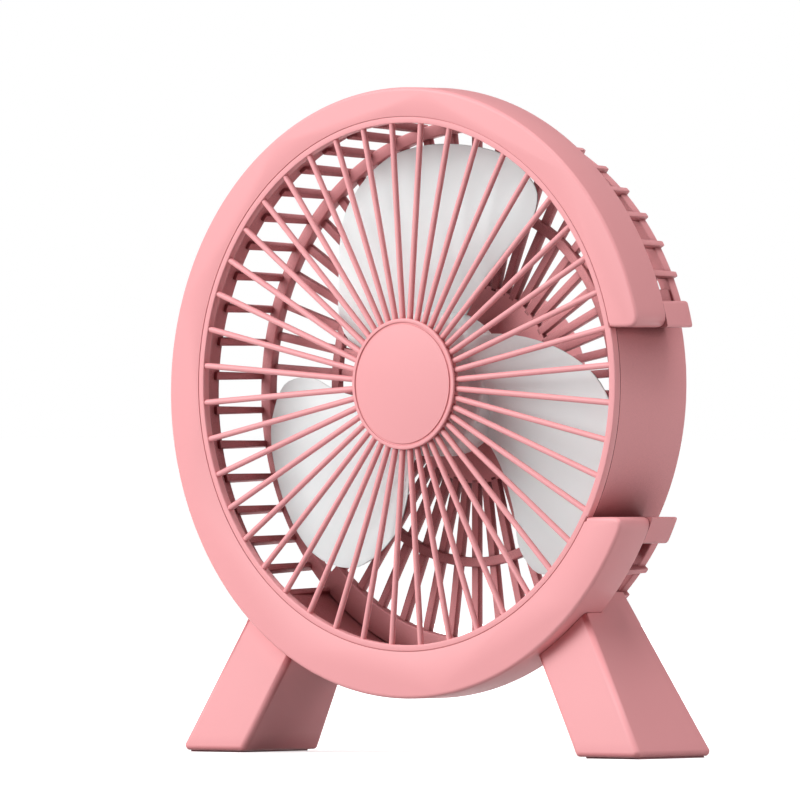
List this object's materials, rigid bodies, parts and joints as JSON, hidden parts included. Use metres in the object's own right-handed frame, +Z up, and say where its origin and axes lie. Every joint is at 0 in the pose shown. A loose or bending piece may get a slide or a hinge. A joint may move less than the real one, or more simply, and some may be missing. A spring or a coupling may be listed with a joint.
{
  "type": "mini fan",
  "caption": "Small table fan: spoked grille in a C-shaped frame, broad twisted blades, slotted rear basket, two splayed legs and a round rear cover with button and charging socket.",
  "frame": {"origin": "on the table, in the plane through the fan axis, midway between the hub cap's face and the button's face", "axes": "+X to the right seen from the front, the front faces -Y, +Z up"},
  "size_m": [0.1878, 0.0576, 0.2076],
  "materials": {
    "pink_shell": "satin moulded",
    "pale_blades": "satin moulded",
    "pad_rubber": "matt",
    "screw_steel": "zinc plated",
    "motor_steel": "plated",
    "bush_bronze": "sintered",
    "magnet_ferrite": "matt",
    "copper": "enamelled",
    "brush_carbon": "matt",
    "board_green": "solder mask",
    "cell_foil": "foil",
    "socket_steel": "bright",
    "switch_black": "gloss",
    "button_pale": "gloss",
    "lens_clear": "clear"
  },
  "bodies": {
    "housing": {"c_frame": "pink_shell", "front_grille": "pink_shell", "hub_cap": "pink_shell", "rear_guard": "pink_shell", "left_leg": "pink_shell", "right_leg": "pink_shell", "rear_cover": "pink_shell", "cell_tray": "pink_shell", "left_foot_pad": "pad_rubber", "right_foot_pad": "pad_rubber", "frame_screws": "screw_steel", "leg_screws": "screw_steel", "motor_screws": "screw_steel", "cover_screws": "screw_steel", "motor_can": "motor_steel", "motor_end_cap": "motor_steel", "front_bush": "bush_bronze", "rear_bush": "bush_bronze", "magnets": "magnet_ferrite", "brushes": "brush_carbon", "control_board": "board_green", "battery_cell": "cell_foil", "usb_port": "socket_steel", "tact_switch": "switch_black", "status_lens": "lens_clear"},
    "rotor": {"impeller": "pale_blades", "motor_shaft": "motor_steel", "armature_core": "motor_steel", "armature_winding": "copper", "commutator": "copper"},
    "button": {"power_button": "button_pale"}
  },
  "joints": [
    {"name": "impeller_spin", "type": "hinge", "parent": "housing", "child": "rotor", "pos_m": [0, 0, 0.1154], "axis": [0, 1, 0], "continuous": true},
    {"name": "button_press", "type": "slide", "parent": "housing", "child": "button", "axis": [0, -1, 0], "range_m": [0, 0.0008], "stiffness_N_per_m": 300}
  ]
}
